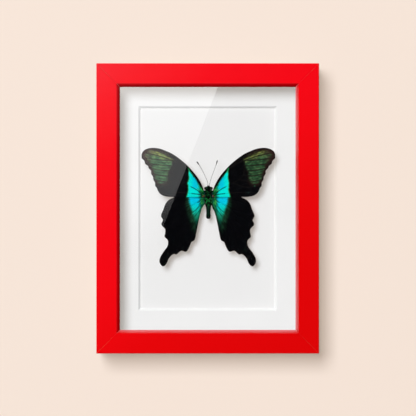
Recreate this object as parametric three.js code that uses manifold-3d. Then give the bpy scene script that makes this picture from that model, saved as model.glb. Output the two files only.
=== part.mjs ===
// A wall-hung box frame with one spread swallowtail butterfly.
// Millimetres, +Z up, front towards -Y. The origin is the middle of the top rail's back face,
// where the frame bears on the wall.
import * as THREE from 'three';
import { mergeVertices } from 'three/addons/utils/BufferGeometryUtils.js';
import Module from 'manifold-3d';

const wasm = await Module();
wasm.setup();

// ---- Driving dimensions ----

const outerWidth = 165;
const outerHeight = 215;
const frameDepth = 32;
const clearGap = 0.1; // between flat pieces laid on each other

const moulding = {
  faceWidth: 15.2, // flat front of the rail
  lipBevel: 2.05, // width of the steep bevel inside the face
  lipBevelDepth: 5,
  lipArris: 0.3, // small bevel that takes the edge off the lip
  lipDepth: 5.9, // front of the rail to the rabbet
  wallThickness: 12.5, // rail behind the lip
  edgeRadius: 0.9,
  mitreGap: 0.06, // half the hairline at each corner
};

const stack = {
  backRecess: 3.1,
  panelThickness: 2.5,
  boardThickness: 3,
  matThickness: 1.4,
  glassThickness: 2,
  sideGap: 0.3, // between the boards and the rabbet
  spacerWidth: 3,
};

const matWindow = { width: 101.2, height: 150.6, bevel: 1.5 };

const tab = { width: 8, length: 15, thickness: 0.6, insert: 5, slotGap: 0.15 };

const hangerSize = {
  length: 42,
  height: 9,
  thickness: 0.8,
  footLength: 8,
  riseLength: 3,
  rise: 1.2,
  fromTop: 14, // upper edge of the back panel to the top of the hanger
  teeth: 9,
  toothPitch: 2.4,
  toothDepth: 2,
};

const rivet = { headRadius: 2.1, headHeight: 0.8, shankRadius: 0.9, gap: 0.2 };

const specimenPlace = { x: 0.5, z: 8.6 }; // thorax, from the middle of the frame
const wingHeight = 8.5; // wing roots in front of the board
const wingThickness = 0.45;
const wingGap = 0.3; // between the forewing and the hindwing under it
const wingLift = 0.05; // rise of a wing towards its tip, per unit of span
const wingRoot = 3.2; // side of the thorax to the middle of the body
const hindwingOffset = -0.5; // clear of their roots, both hindwings sit a little to one side
const rootSpan = 1.2; // over which that offset builds up
const outlineSteps = 4; // straight pieces between two points of a wing outline

const pinSize = { radius: 0.25, gap: 0.2, intoBody: 2.2 };

// Wing outlines, [across from the middle of the body, up from the middle of the thorax].
const forewingOutline = [
  // root and front edge
  [3.3, 2.6], [3.7, 5.4], [6.0, 10.9], [8.7, 15.2], [12.1, 19.4], [15.9, 23.5],
  [21.2, 28.0], [26.6, 31.8], [31.7, 34.2], [36.4, 35.9], [41.5, 36.5], [45.7, 35.8],
  // tip
  [48.4, 34.2], [49.9, 30.9], [49.1, 28.6],
  // outer edge, wavy from vein to vein
  [47.6, 26.0], [45.5, 23.2], [43.7, 21.0], [43.1, 19.5], [42.1, 16.8], [41.7, 15.0],
  [40.5, 12.6], [40.1, 10.2], [38.8, 7.2], [37.4, 4.3], [35.8, 2.3], [33.5, 1.0],
  // hind edge
  [30.1, 0.3], [25.0, 0.1], [15.0, -0.1], [6.0, -0.3], [3.4, -0.4],
];

const hindwingOutline = [
  // front edge, tucked under the forewing
  [3.3, -0.3], [8.0, 2.8], [16.0, 3.8], [21.5, 2.4], [25.1, -0.3],
  // outer edge with its lobes and notches
  [29.2, -2.5], [31.7, -5.7], [32.9, -9.2], [34.8, -14.2], [33.4, -17.2], [34.5, -20.6],
  [31.7, -24.0], [31.7, -27.2], [32.1, -29.7], [29.7, -32.4], [29.9, -36.7],
  // tail
  [33.2, -41.4], [35.7, -46.1], [35.7, -49.3], [33.4, -51.8], [30.8, -49.6], [29.3, -46.1],
  [27.2, -43.6], [25.2, -42.5],
  // lower edge
  [23.5, -42.9], [20.0, -40.1], [16.2, -40.8], [14.0, -37.6], [12.3, -33.6], [10.2, -32.4],
  // inner edge beside the abdomen
  [8.9, -27.7], [7.5, -20.6], [5.9, -13.4], [4.1, -7.3], [3.4, -4.4],
];

// Half-width of the thorax and abdomen, [up from the middle of the thorax, half-width].
const thoraxHalfWidth = 2.85;
const trunkProfile = [
  [5.2, 0.0], [4.9, 1.2], [4.0, 2.1], [2.2, 2.65], [0.0, thoraxHalfWidth], [-2.6, 2.75], [-4.8, 2.35],
  [-6.2, 2.25], [-8.2, 1.95], [-10.4, 1.6], [-12.4, 1.65], [-14.2, 1.8], [-15.6, 1.4],
  [-16.4, 0.7], [-16.6, 0.0],
];
const trunkDepth = 1.12; // depth over width
const trunkBack = 0.9; // middle of the body behind the wing roots

const headShape = { up: 6.5, half: [1.9, 1.9, 1.7], eyeAcross: 1.8, eyeUp: 6.5, eyeRadius: 1.15 };
const palp = { across: 0.55, up: 7.3, forward: 0.4, radius: 0.65, length: 1.8, lean: 0.3 };

// Each antenna as [across, back (negative is forward), up], from the head to the end of its club.
const antennaPaths = {
  left: [
    [-0.3, 0.2, 7.2], [-0.5, -0.6, 10.6], [-2.1, -1.3, 14.8], [-5.4, -2.0, 21.5], [-8.9, -2.3, 26.6],
  ],
  right: [
    [0.4, 0.2, 7.2], [1.2, -0.6, 11.0], [2.9, -1.3, 16.4], [5.0, -2.0, 21.8], [6.9, -2.3, 27.7],
  ],
};
const antenna = { shaftRadius: 0.22, clubRadius: 0.45, clubStart: 0.86, steps: 22, sides: 6 };

// One leg as [across, back, up] from where it leaves the thorax: femur, tibia, foot.
const legPath = [[1.0, 1.8, 0], [2.6, 3.4, 0.9], [3.0, 4.6, -0.6], [2.2, 5.6, -2.8], [2.0, 6.2, -4.2]];
const legUp = [2.6, -0.4, -3.2]; // where the three pairs leave it
const leg = { radius: 0.24, steps: 8, sides: 6 };

// ---- Materials ----

const finish = (colour, roughness, metalness = 0) =>
  new THREE.MeshStandardMaterial({ color: colour, roughness, metalness });

const redLacquer = finish(0xe00812, 0.28);
const clearGlass = finish(0xdfe8e6, 0.05);
clearGlass.transparent = true;
clearGlass.opacity = 0.25;
const whiteBoard = finish(0xf0f0ee, 0.85);
const fibreboard = finish(0x9a7650, 0.85);
const steel = finish(0xb4b6b8, 0.35, 1);
const brassedSteel = finish(0xb99a58, 0.35, 1);
const wingScales = finish(0x08191a, 0.55);
const bodyHair = finish(0x0c140e, 0.8);

// ---- Helpers ----

function node(name, geometry, material) {
  const mesh = new THREE.Mesh(geometry, material);
  mesh.name = name;
  return mesh;
}

/** Geometry with merged corners, as a solid for joining and cutting. */
function solidOf(geometry) {
  const bare = geometry.clone();
  bare.deleteAttribute('normal');
  bare.deleteAttribute('uv');
  const merged = mergeVertices(bare, 1e-4);
  return new wasm.Manifold(new wasm.Mesh({
    numProp: 3,
    vertProperties: new Float32Array(merged.attributes.position.array),
    triVerts: new Uint32Array(merged.index.array),
  }));
}

function geometryOf(solid) {
  const mesh = solid.getMesh();
  const geometry = new THREE.BufferGeometry();
  geometry.setAttribute('position', new THREE.BufferAttribute(mesh.vertProperties, 3));
  geometry.setIndex(new THREE.BufferAttribute(mesh.triVerts, 1));
  geometry.computeVertexNormals();
  return geometry;
}

/** Box from its lowest to its highest corner. */
function boxBetween([x0, y0, z0], [x1, y1, z1]) {
  const box = new THREE.BoxGeometry(x1 - x0, y1 - y0, z1 - z0);
  return box.translate((x0 + x1) / 2, (y0 + y1) / 2, (z0 + z1) / 2);
}

/** Moves each corner of a geometry by a function of its place. */
function reshape(geometry, move) {
  const place = geometry.attributes.position;
  const point = new THREE.Vector3();
  for (let i = 0; i < place.count; i += 1) {
    point.fromBufferAttribute(place, i);
    move(point);
    place.setXYZ(i, point.x, point.y, point.z);
  }
  geometry.computeVertexNormals();
  return geometry;
}

/** Round rod along Y, from the lower to the higher y. */
function rodAlongY(radius, y0, y1, x, z, sides = 16) {
  const rod = new THREE.CylinderGeometry(radius, radius, y1 - y0, sides);
  return rod.translate(x, (y0 + y1) / 2, z);
}

/** Tube of a few sides along points, whose radius may change from start to end. */
function tubeAlong(points, radius, steps, sides, radiusScale = () => 1) {
  const path = new THREE.CatmullRomCurve3(points.map((p) => new THREE.Vector3(...p)));
  const section = new THREE.Shape();
  for (let i = 0; i < sides; i += 1) {
    const angle = (i / sides) * Math.PI * 2;
    const corner = [radius * Math.cos(angle), radius * Math.sin(angle)];
    if (i === 0) section.moveTo(...corner);
    else section.lineTo(...corner);
  }
  section.closePath();
  const tube = new THREE.ExtrudeGeometry(section, { steps, extrudePath: path, bevelEnabled: false });
  const along = Array.from({ length: steps + 1 }, (_, i) => path.getPointAt(i / steps));
  return reshape(tube, (point) => {
    let nearest = 0;
    for (let i = 1; i <= steps; i += 1) {
      if (along[i].distanceToSquared(point) < along[nearest].distanceToSquared(point)) nearest = i;
    }
    point.sub(along[nearest]).multiplyScalar(radiusScale(nearest / steps)).add(along[nearest]);
  });
}

// ---- Levels through the frame, from the wall (0) to the front (negative) ----

const panelBack = -stack.backRecess;
const panelFront = panelBack - stack.panelThickness;
const boardBack = panelFront - clearGap;
const boardFront = boardBack - stack.boardThickness;
const matBack = boardFront - clearGap;
const matFront = matBack - stack.matThickness;
const spacerBack = matFront - clearGap;
const rabbetFace = -frameDepth + moulding.lipDepth;
const glassFront = rabbetFace + clearGap;
const glassBack = glassFront + stack.glassThickness;
const spacerFront = glassBack + clearGap;
const wingLevel = boardFront - wingHeight;

const halfWidth = outerWidth / 2;
const halfHeight = outerHeight / 2;
const boardHalfWidth = halfWidth - moulding.wallThickness - stack.sideGap;
const boardHalfHeight = halfHeight - moulding.wallThickness - stack.sideGap;

// ---- Rails ----

/** Section of the moulding: u from the outer side inwards, v from the wall to the front. */
function mouldingSection() {
  const { faceWidth, lipBevel, lipBevelDepth, lipArris, lipDepth } = moulding;
  const { wallThickness, edgeRadius } = moulding;
  const sight = faceWidth + lipBevel;
  const section = new THREE.Shape();
  section.moveTo(0, 0);
  section.lineTo(wallThickness, 0);
  section.lineTo(wallThickness, frameDepth - lipDepth);
  section.lineTo(sight, frameDepth - lipDepth);
  section.lineTo(sight, frameDepth - lipBevelDepth);
  section.lineTo(faceWidth, frameDepth - lipArris);
  section.lineTo(faceWidth - lipArris, frameDepth);
  section.lineTo(edgeRadius, frameDepth);
  section.absarc(edgeRadius, frameDepth - edgeRadius, edgeRadius, Math.PI / 2, Math.PI, false);
  section.closePath();
  return section;
}

/** A rail that runs along X with its outer side up, mitred at both ends. */
function railSolid(length) {
  const rail = new THREE.ExtrudeGeometry(mouldingSection(), {
    depth: length,
    steps: 1,
    curveSegments: 4,
    bevelEnabled: false,
  });
  rail.translate(0, 0, -length / 2);
  return reshape(rail, (point) => {
    const { x: fromOuter, y: fromWall, z: along } = point;
    const end = length / 2 - fromOuter - moulding.mitreGap;
    point.set(-Math.sign(along) * end, -fromWall, -fromOuter);
  });
}

// Where the tabs stand: [rail, along the rail].
const tabPlaces = [
  ['top', 0], ['bottom', 0],
  ['left', 45], ['left', -45],
  ['right', 45], ['right', -45],
];

// Turn from a rail that lies along X at the top to each side, and how far it is from the middle.
const sides = {
  top: { turn: 0, length: outerWidth, reach: halfHeight },
  right: { turn: Math.PI / 2, length: outerHeight, reach: halfWidth },
  bottom: { turn: Math.PI, length: outerWidth, reach: halfHeight },
  left: { turn: -Math.PI / 2, length: outerHeight, reach: halfWidth },
};

/** A tab in its rail's own place, grown by a gap where it is the slot. */
function tabSolid(along, grow = 0) {
  const half = tab.width / 2 + grow;
  const top = -moulding.wallThickness + tab.insert + grow;
  const bottom = top - tab.length - 2 * grow;
  const back = panelBack + clearGap + tab.thickness + grow;
  return boxBetween(
    [along - half, panelBack + clearGap - grow, bottom],
    [along + half, back, top],
  );
}

const placeOnSide = (geometry, { turn, reach }) => geometry.translate(0, 0, reach).rotateY(turn);

function buildRail(name, side) {
  let solid = solidOf(railSolid(side.length));
  for (const [onRail, along] of tabPlaces) {
    if (onRail === name) solid = solid.subtract(solidOf(tabSolid(along, tab.slotGap)));
  }
  return node(`rail_${name}`, placeOnSide(geometryOf(solid), side), redLacquer);
}

function buildTab(index) {
  const [onRail, along] = tabPlaces[index];
  return node(`tab_${index + 1}`, placeOnSide(tabSolid(along), sides[onRail]), steel);
}

// ---- Boards, glass and spacers ----

function buildGlass() {
  return node('glass', boxBetween(
    [-boardHalfWidth, glassFront, -boardHalfHeight],
    [boardHalfWidth, glassBack, boardHalfHeight],
  ), clearGlass);
}

function buildSpacers() {
  const w = boardHalfWidth;
  const h = boardHalfHeight;
  const inner = h - stack.spacerWidth - stack.sideGap;
  const strip = (name, [x0, z0], [x1, z1]) =>
    node(`spacer_${name}`, boxBetween([x0, spacerFront, z0], [x1, spacerBack, z1]), whiteBoard);
  return [
    strip('top', [-w, h - stack.spacerWidth], [w, h]),
    strip('bottom', [-w, -h], [w, -h + stack.spacerWidth]),
    strip('left', [-w, -inner], [-w + stack.spacerWidth, inner]),
    strip('right', [w - stack.spacerWidth, -inner], [w, inner]),
  ];
}

/** Rectangle about the middle, as a shape or a hole. */
function rectangle(Kind, width, height) {
  const shape = new Kind();
  shape.moveTo(-width / 2, -height / 2);
  shape.lineTo(width / 2, -height / 2);
  shape.lineTo(width / 2, height / 2);
  shape.lineTo(-width / 2, height / 2);
  shape.closePath();
  return shape;
}

/** Mat board whose window widens towards the front. */
function buildMat() {
  const outline = rectangle(THREE.Shape, 2 * boardHalfWidth, 2 * boardHalfHeight);
  outline.holes.push(rectangle(THREE.Path, matWindow.width, matWindow.height));
  const board = new THREE.ExtrudeGeometry(outline, {
    depth: stack.matThickness,
    steps: 1,
    bevelEnabled: false,
  });
  reshape(board, (point) => {
    const { x, y: up, z: forward } = point;
    const onWindow = Math.abs(x) < boardHalfWidth - 1;
    const widen = onWindow && forward > 0 ? matWindow.bevel : 0;
    point.set(x + Math.sign(x) * widen, matBack - forward, up + Math.sign(up) * widen);
  });
  return node('mat', board, whiteBoard);
}

function buildBackingBoard() {
  const board = boxBetween(
    [-boardHalfWidth, boardFront, -boardHalfHeight],
    [boardHalfWidth, boardBack, boardHalfHeight],
  );
  const hole = rodAlongY(
    pinSize.radius + pinSize.gap, boardFront - 1, boardBack + 1, specimenPlace.x, specimenPlace.z,
  );
  return node('backing_board', geometryOf(solidOf(board).subtract(solidOf(hole))), whiteBoard);
}

// ---- Hanger on the back panel ----

const hangerTop = boardHalfHeight - hangerSize.fromTop;
const rivetUp = hangerTop - hangerSize.height / 2;
const rivetAcross = (hangerSize.length - hangerSize.footLength) / 2;

function buildBackPanel() {
  const panel = boxBetween(
    [-boardHalfWidth, panelFront, -boardHalfHeight],
    [boardHalfWidth, panelBack, boardHalfHeight],
  );
  let solid = solidOf(panel);
  for (const side of [-1, 1]) {
    const hole = rodAlongY(
      rivet.shankRadius + rivet.gap, panelFront - 1, panelBack + 1, side * rivetAcross, rivetUp,
    );
    solid = solid.subtract(solidOf(hole));
  }
  return node('back_panel', geometryOf(solid), fibreboard);
}

/** Strip with two feet and a raised middle, toothed along its lower edge. */
function buildHanger() {
  const { length, height, thickness, footLength, riseLength, rise } = hangerSize;
  const base = panelBack + clearGap;
  const half = length / 2;
  const outside = [
    [-half, 0], [-half + footLength, 0], [-half + footLength + riseLength, rise],
    [half - footLength - riseLength, rise], [half - footLength, 0], [half, 0],
  ];
  const strip = new THREE.Shape();
  strip.moveTo(...outside[0]);
  for (const corner of outside.slice(1)) strip.lineTo(...corner);
  for (const [x, y] of [...outside].reverse()) strip.lineTo(x, y + thickness);
  strip.closePath();
  const plate = new THREE.ExtrudeGeometry(strip, { depth: height, bevelEnabled: false });
  plate.translate(0, base, hangerTop - height);
  let solid = solidOf(plate);
  for (let i = 0; i < hangerSize.teeth; i += 1) {
    const middle = (i - (hangerSize.teeth - 1) / 2) * hangerSize.toothPitch;
    const notch = new THREE.CylinderGeometry(hangerSize.toothDepth, hangerSize.toothDepth, 6, 3);
    notch.translate(middle, base, hangerTop - height);
    solid = solid.subtract(solidOf(notch));
  }
  for (const side of [-1, 1]) {
    const hole = rodAlongY(
      rivet.shankRadius + rivet.gap, base - 1, base + 3, side * rivetAcross, rivetUp,
    );
    solid = solid.subtract(solidOf(hole));
  }
  return node('hanger', geometryOf(solid), steel);
}

function buildRivet(name, side) {
  const under = panelBack + 2 * clearGap + hangerSize.thickness;
  const profile = [
    [0, panelFront],
    [rivet.shankRadius, panelFront],
    [rivet.shankRadius, under],
    [rivet.headRadius, under],
    [rivet.headRadius * Math.SQRT1_2, under + rivet.headHeight * Math.SQRT1_2],
    [rivet.headRadius / 3, under + rivet.headHeight],
    [0, under + rivet.headHeight],
  ];
  const turned = new THREE.LatheGeometry(profile.map((p) => new THREE.Vector2(...p)), 16);
  turned.translate(side * rivetAcross, 0, rivetUp);
  return node(`hanger_rivet_${name}`, turned, brassedSteel);
}

// ---- Specimen: places are from the middle of the thorax at the wing roots ----

/** Smooth closed outline through the points of a wing, mirrored for the left side. */
function wingShape(points, side, offset) {
  const curve = new THREE.CatmullRomCurve3(
    points.map(([across, up]) => new THREE.Vector3(side * across, up, 0)),
    true,
    'centripetal',
  );
  const outline = curve.getPoints(points.length * outlineSteps).slice(0, -1);
  return new THREE.Shape(outline.map(({ x, y }) => {
    const clear = THREE.MathUtils.clamp((Math.abs(x) - wingRoot) / rootSpan, 0, 1);
    return new THREE.Vector2(x + offset * clear, y);
  }));
}

/** Thin wing blade that rises to its tip; level is its middle behind the wing roots. */
function wingSolid(points, side, level, offset = 0) {
  const blade = new THREE.ExtrudeGeometry(wingShape(points, side, offset), {
    depth: wingThickness,
    steps: 1,
    bevelEnabled: false,
  });
  return reshape(blade, (point) => {
    const { x, y: up, z: forward } = point;
    const lift = wingLift * (Math.abs(x) - wingRoot);
    point.set(x, level + wingThickness / 2 - forward - lift, up);
  });
}

function buildWings() {
  const level = (wingThickness + wingGap) / 2;
  const wings = [];
  for (const [name, side] of [['left', -1], ['right', 1]]) {
    const forewing = wingSolid(forewingOutline, side, -level);
    const hindwing = wingSolid(hindwingOutline, side, level, hindwingOffset);
    wings.push(node(`forewing_${name}`, forewing, wingScales));
    wings.push(node(`hindwing_${name}`, hindwing, wingScales));
  }
  return wings;
}

function ellipsoid([rx, ry, rz], [x, y, z], across = 14, up = 10) {
  return new THREE.SphereGeometry(1, across, up).scale(rx, ry, rz).translate(x, y, z);
}

function trunkSolid() {
  const profile = [...trunkProfile].reverse().map(([up, half]) => new THREE.Vector2(half, up));
  const trunk = new THREE.LatheGeometry(profile, 20);
  return reshape(trunk, (point) => {
    point.set(point.x, trunkBack - point.z * trunkDepth, point.y);
  });
}

function headSolids() {
  const { up, half, eyeAcross, eyeUp, eyeRadius } = headShape;
  const pieces = [ellipsoid(half, [0, trunkBack, up])];
  for (const side of [-1, 1]) {
    pieces.push(ellipsoid(
      [eyeRadius, eyeRadius, eyeRadius], [side * eyeAcross, trunkBack, eyeUp],
    ));
    const tip = new THREE.ConeGeometry(palp.radius, palp.length, 8);
    tip.rotateX(Math.PI / 2).rotateY(-side * palp.lean);
    pieces.push(tip.translate(side * palp.across, trunkBack - palp.forward, palp.up));
  }
  return pieces;
}

function antennaSolid(points) {
  const clubScale = (t) => (t < antenna.clubStart ? 1 : antenna.clubRadius / antenna.shaftRadius);
  return tubeAlong(points, antenna.shaftRadius, antenna.steps, antenna.sides, clubScale);
}

function legSolid(side, up) {
  const points = legPath.map(([across, back, rise]) => [side * across, back, up + rise]);
  return tubeAlong(points, leg.radius, leg.steps, leg.sides);
}

/** Underside of the thorax, where the pin goes in. */
const thoraxUnder = trunkBack + thoraxHalfWidth * trunkDepth;
const pinTip = thoraxUnder - pinSize.intoBody;

function buildBody() {
  const pieces = headSolids();
  for (const points of Object.values(antennaPaths)) pieces.push(antennaSolid(points));
  for (const side of [-1, 1]) {
    for (const up of legUp) pieces.push(legSolid(side, up));
  }
  let solid = solidOf(trunkSolid());
  for (const piece of pieces) solid = solid.add(solidOf(piece));
  const pinHole = rodAlongY(
    pinSize.radius + pinSize.gap, pinTip - pinSize.gap, thoraxUnder + pinSize.intoBody, 0, 0,
  );
  solid = solid.subtract(solidOf(pinHole));
  return node('body', geometryOf(solid), bodyHair);
}

function buildPin() {
  return node('pin', rodAlongY(pinSize.radius, pinTip, boardBack - wingLevel, 0, 0), steel);
}

function buildSpecimen() {
  const specimen = new THREE.Group();
  specimen.position.set(specimenPlace.x, wingLevel, specimenPlace.z);
  specimen.add(buildBody(), ...buildWings(), buildPin());
  return specimen;
}

// ---- Assembly ----

const framedButterfly = new THREE.Group();
framedButterfly.position.z = moulding.wallThickness / 2 - halfHeight;
for (const [name, side] of Object.entries(sides)) framedButterfly.add(buildRail(name, side));
framedButterfly.add(buildGlass(), ...buildSpacers(), buildMat(), buildBackingBoard());
framedButterfly.add(buildBackPanel(), buildHanger());
framedButterfly.add(buildRivet('left', -1), buildRivet('right', 1));
for (let i = 0; i < tabPlaces.length; i += 1) framedButterfly.add(buildTab(i));
framedButterfly.add(buildSpecimen());

export default framedButterfly;
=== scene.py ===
import math

import bpy
import numpy as np
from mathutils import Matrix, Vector, geometry


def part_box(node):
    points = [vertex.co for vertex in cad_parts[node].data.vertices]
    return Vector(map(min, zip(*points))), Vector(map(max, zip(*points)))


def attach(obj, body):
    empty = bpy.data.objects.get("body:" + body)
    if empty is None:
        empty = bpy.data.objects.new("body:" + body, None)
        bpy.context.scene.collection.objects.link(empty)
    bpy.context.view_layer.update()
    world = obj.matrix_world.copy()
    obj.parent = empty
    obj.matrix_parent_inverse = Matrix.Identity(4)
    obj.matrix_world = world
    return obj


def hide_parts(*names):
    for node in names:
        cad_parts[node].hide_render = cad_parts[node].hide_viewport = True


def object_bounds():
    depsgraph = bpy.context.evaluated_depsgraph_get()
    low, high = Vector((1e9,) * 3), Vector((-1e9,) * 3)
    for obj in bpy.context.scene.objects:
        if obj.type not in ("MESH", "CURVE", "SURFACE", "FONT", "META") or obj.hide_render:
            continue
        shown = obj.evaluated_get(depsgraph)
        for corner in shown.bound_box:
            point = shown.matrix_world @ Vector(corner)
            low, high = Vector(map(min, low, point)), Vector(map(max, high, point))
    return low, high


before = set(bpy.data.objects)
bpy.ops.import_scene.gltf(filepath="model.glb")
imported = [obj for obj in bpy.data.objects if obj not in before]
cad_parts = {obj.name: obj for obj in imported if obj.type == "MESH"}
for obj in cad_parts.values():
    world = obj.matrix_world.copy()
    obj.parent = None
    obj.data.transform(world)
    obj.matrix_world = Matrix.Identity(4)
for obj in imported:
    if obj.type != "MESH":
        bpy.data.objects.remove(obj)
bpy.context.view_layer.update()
print("frame loaded")

mm = 0.001  # lengths below are in millimetres and turned into metres with this


def paint(code):  # a colour as a screen shows it, such as "e00812", made linear for the shaders
    parts = [int(code[i:i + 2], 16) / 255 for i in (0, 2, 4)]
    return [c / 12.92 if c <= 0.04045 else ((c + 0.055) / 1.055) ** 2.4 for c in parts] + [1]


class Wire:  # a node's output that can be used in sums
    def __init__(self, bench, socket):
        self.bench = bench
        self.socket = socket

    def sum(self, operation, *values):
        return self.bench.add("ShaderNodeMath", {"operation": operation}, values)

    def __add__(self, other):
        return self.sum("ADD", self, other)

    def __radd__(self, other):
        return self.sum("ADD", other, self)

    def __sub__(self, other):
        return self.sum("SUBTRACT", self, other)

    def __rsub__(self, other):
        return self.sum("SUBTRACT", other, self)

    def __mul__(self, other):
        return self.sum("MULTIPLY", self, other)

    def __rmul__(self, other):
        return self.sum("MULTIPLY", other, self)

    def __truediv__(self, other):
        return self.sum("DIVIDE", self, other)

    def __pow__(self, other):
        return self.sum("POWER", self, other)


class Bench:  # one material, or the world, and its nodes
    def __init__(self, name, world=None):
        self.material = world or bpy.data.materials.new(name)
        self.material.use_nodes = True
        self.tree = self.material.node_tree
        self.tree.nodes.clear()

    def add(self, kind, settings=None, inputs=None, out=0):  # settings first, then values or links
        node = self.tree.nodes.new(kind)
        for key, value in (settings or {}).items():
            if key == "stops":
                self.setStops(node.color_ramp, value)
            else:
                setattr(node, key, value)
        pairs = inputs.items() if isinstance(inputs, dict) else enumerate(inputs or [])
        for key, value in pairs:
            if isinstance(value, Wire):
                self.tree.links.new(value.socket, node.inputs[key])
            else:
                node.inputs[key].default_value = value
        return Wire(self, node.outputs[out]) if len(node.outputs) else None

    def setStops(self, ramp, stops):
        while len(ramp.elements) < len(stops):
            ramp.elements.new(0.5)
        for element, (place, colour) in zip(ramp.elements, stops):
            element.position = place
            element.color = colour

    def place(self, scale=(1, 1, 1)):  # where the point is on the object, in millimetres
        spot = self.add("ShaderNodeTexCoord", out=3)
        stretch = [s / mm for s in scale]
        return self.add("ShaderNodeVectorMath", {"operation": "MULTIPLY"}, [spot, stretch])

    def split(self, vector, axis):
        return self.add("ShaderNodeSeparateXYZ", None, [vector], out=axis)

    def join(self, x, y, z):
        return self.add("ShaderNodeCombineXYZ", None, [x, y, z])

    def stored(self, name):  # a number kept with each corner of the mesh
        return self.add("ShaderNodeAttribute", {"attribute_name": name}, out=2)

    def noise(self, vector, scale, detail=3.0, rough=0.55):
        inputs = {"Vector": vector, "Scale": scale, "Detail": detail, "Roughness": rough}
        return self.add("ShaderNodeTexNoise", None, inputs)

    def ease(self, value, low, high):  # 0 below low, 1 above high
        settings = {"interpolation_type": "SMOOTHSTEP"}
        return self.add("ShaderNodeMapRange", settings, {0: value, 1: low, 2: high})

    def mix(self, share, first, second):
        settings = {"data_type": "RGBA", "clamp_factor": True}
        return self.add("ShaderNodeMix", settings, {0: share, 6: first, 7: second}, out=2)

    def ramp(self, value, stops):
        return self.add("ShaderNodeValToRGB", {"stops": stops}, [value])

    def bump(self, height, depth, strength=1.0):  # depth in millimetres
        inputs = {"Strength": strength, "Distance": depth * mm, "Height": height}
        return self.add("ShaderNodeBump", None, inputs)

    def close(self, inputs):
        surface = self.add("ShaderNodeBsdfPrincipled", None, inputs)
        self.add("ShaderNodeOutputMaterial", None, [surface])
        return self.material


def meshPiece(name, points, faces, materials, faceMaterial=None, smooth=True):
    mesh = bpy.data.meshes.new(name)
    mesh.from_pydata([tuple(p) for p in points], [], faces)
    for material in materials:
        mesh.materials.append(material)
    if faceMaterial is not None:
        mesh.polygons.foreach_set("material_index", faceMaterial)
    mesh.polygons.foreach_set("use_smooth", [smooth] * len(mesh.polygons))
    mesh.update()
    piece = bpy.data.objects.new(name, mesh)
    bpy.context.scene.collection.objects.link(piece)
    return piece


def storeNumbers(piece, name, values):
    layer = piece.data.attributes.new(name, "FLOAT", "POINT")
    layer.data.foreach_set("value", np.asarray(values, np.float32))


def dressNode(name, material):  # a CAD piece keeps its shape and gets a finish
    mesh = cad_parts[name].data
    mesh.materials.clear()
    mesh.materials.append(material)


def distanceToPath(points, path):  # from each point to the nearest spot of an open path
    best = np.full(len(points), 1e9)
    for start, end in zip(path[:-1], path[1:]):
        along = end - start
        share = ((points - start) @ along / max(along @ along, 1e-12)).clip(0, 1)
        best = np.minimum(best, np.linalg.norm(points - start - share[:, None] * along, axis=1))
    return best


def insideLoop(points, loop):
    inside = np.zeros(len(points), bool)
    for (x0, y0), (x1, y1) in zip(loop, np.roll(loop, -1, axis=0)):
        crosses = (y0 > points[:, 1]) != (y1 > points[:, 1])
        with np.errstate(divide="ignore", invalid="ignore"):
            reach = x0 + (points[:, 1] - y0) * (x1 - x0) / (y1 - y0)
        inside ^= crosses & (points[:, 0] < reach)
    return inside


def depthInLoop(points, loop):  # distance to the loop, positive inside and negative outside
    closed = np.vstack([loop, loop[:1]])
    away = distanceToPath(points, closed)
    return np.where(insideLoop(points, loop), away, -away)


def smoothPath(points, steps=8):  # Catmull-Rom curve through a few points
    points = np.asarray(points, float)
    padded = np.vstack([2 * points[0] - points[1], points, 2 * points[-1] - points[-2]])
    t = np.linspace(0, 1, steps, endpoint=False)[:, None]
    spans = []
    for a, b, c, d in zip(padded, padded[1:], padded[2:], padded[3:]):
        bend = 2 * a - 5 * b + 4 * c - d
        spans.append(b + 0.5 * t * (c - a + t * (bend + t * (3 * (b - c) + d - a))))
    return np.vstack([*spans, points[-1:]])


def ringFaces(rings, sides):  # faces between rings of points, with flat ends
    faces = []
    for ring in range(rings - 1):
        for k in range(sides):
            a, b = ring * sides + k, ring * sides + (k + 1) % sides
            faces.append((a, b, b + sides, a + sides))
    faces.append(tuple(reversed(range(sides))))
    faces.append(tuple(range((rings - 1) * sides, rings * sides)))
    return faces


def tubeMesh(path, radii, sides):  # points and faces of a round tube with closed ends
    path = np.asarray(path, float)
    tangents = np.gradient(path, axis=0)
    tangents /= np.linalg.norm(tangents, axis=1)[:, None]
    points = []
    across = np.cross(tangents[0], [0.3, 0.9, 0.1])
    for spot, tangent, radius in zip(path, tangents, radii):
        across = across - tangent * (across @ tangent)
        across /= np.linalg.norm(across)
        other = np.cross(tangent, across)
        for k in range(sides):
            turn = 2 * math.pi * k / sides
            points.append(spot + radius * (math.cos(turn) * across + math.sin(turn) * other))
    return points, ringFaces(len(path), sides)


def gather(parts):  # several (points, faces) as one
    points, faces = [], []
    for morePoints, moreFaces in parts:
        first = len(points)
        points.extend(morePoints)
        faces.extend(tuple(first + i for i in face) for face in moreFaces)
    return points, faces


# where things are, from the frame
lowCorner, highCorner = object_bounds()
frameMiddle = (lowCorner + highCorner) / 2
frontFace = lowCorner.y
pinLow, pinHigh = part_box("pin")
pinMiddle = (pinLow + pinHigh) / 2
thoraxMiddle = (pinMiddle.x, pinMiddle.z)  # across and up


view = {"distance": 1300, "width": 307.9, "right": 0.2, "up": 0.33}


def makeCamera():
    camera = bpy.data.cameras.new("camera")
    camera.sensor_width = 36
    camera.lens = camera.sensor_width * view["distance"] / view["width"]
    camera.clip_start = 0.05
    camera.clip_end = 20
    holder = bpy.data.objects.new("camera", camera)
    holder.location = (
        frameMiddle.x + view["right"] * mm,
        frontFace - view["distance"] * mm,
        frameMiddle.z + view["up"] * mm,
    )
    holder.rotation_euler = (math.pi / 2, 0, 0)
    bpy.context.scene.collection.objects.link(holder)
    bpy.context.scene.camera = holder


makeCamera()
bpy.context.scene.view_settings.view_transform = "Standard"
print("camera set")


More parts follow.
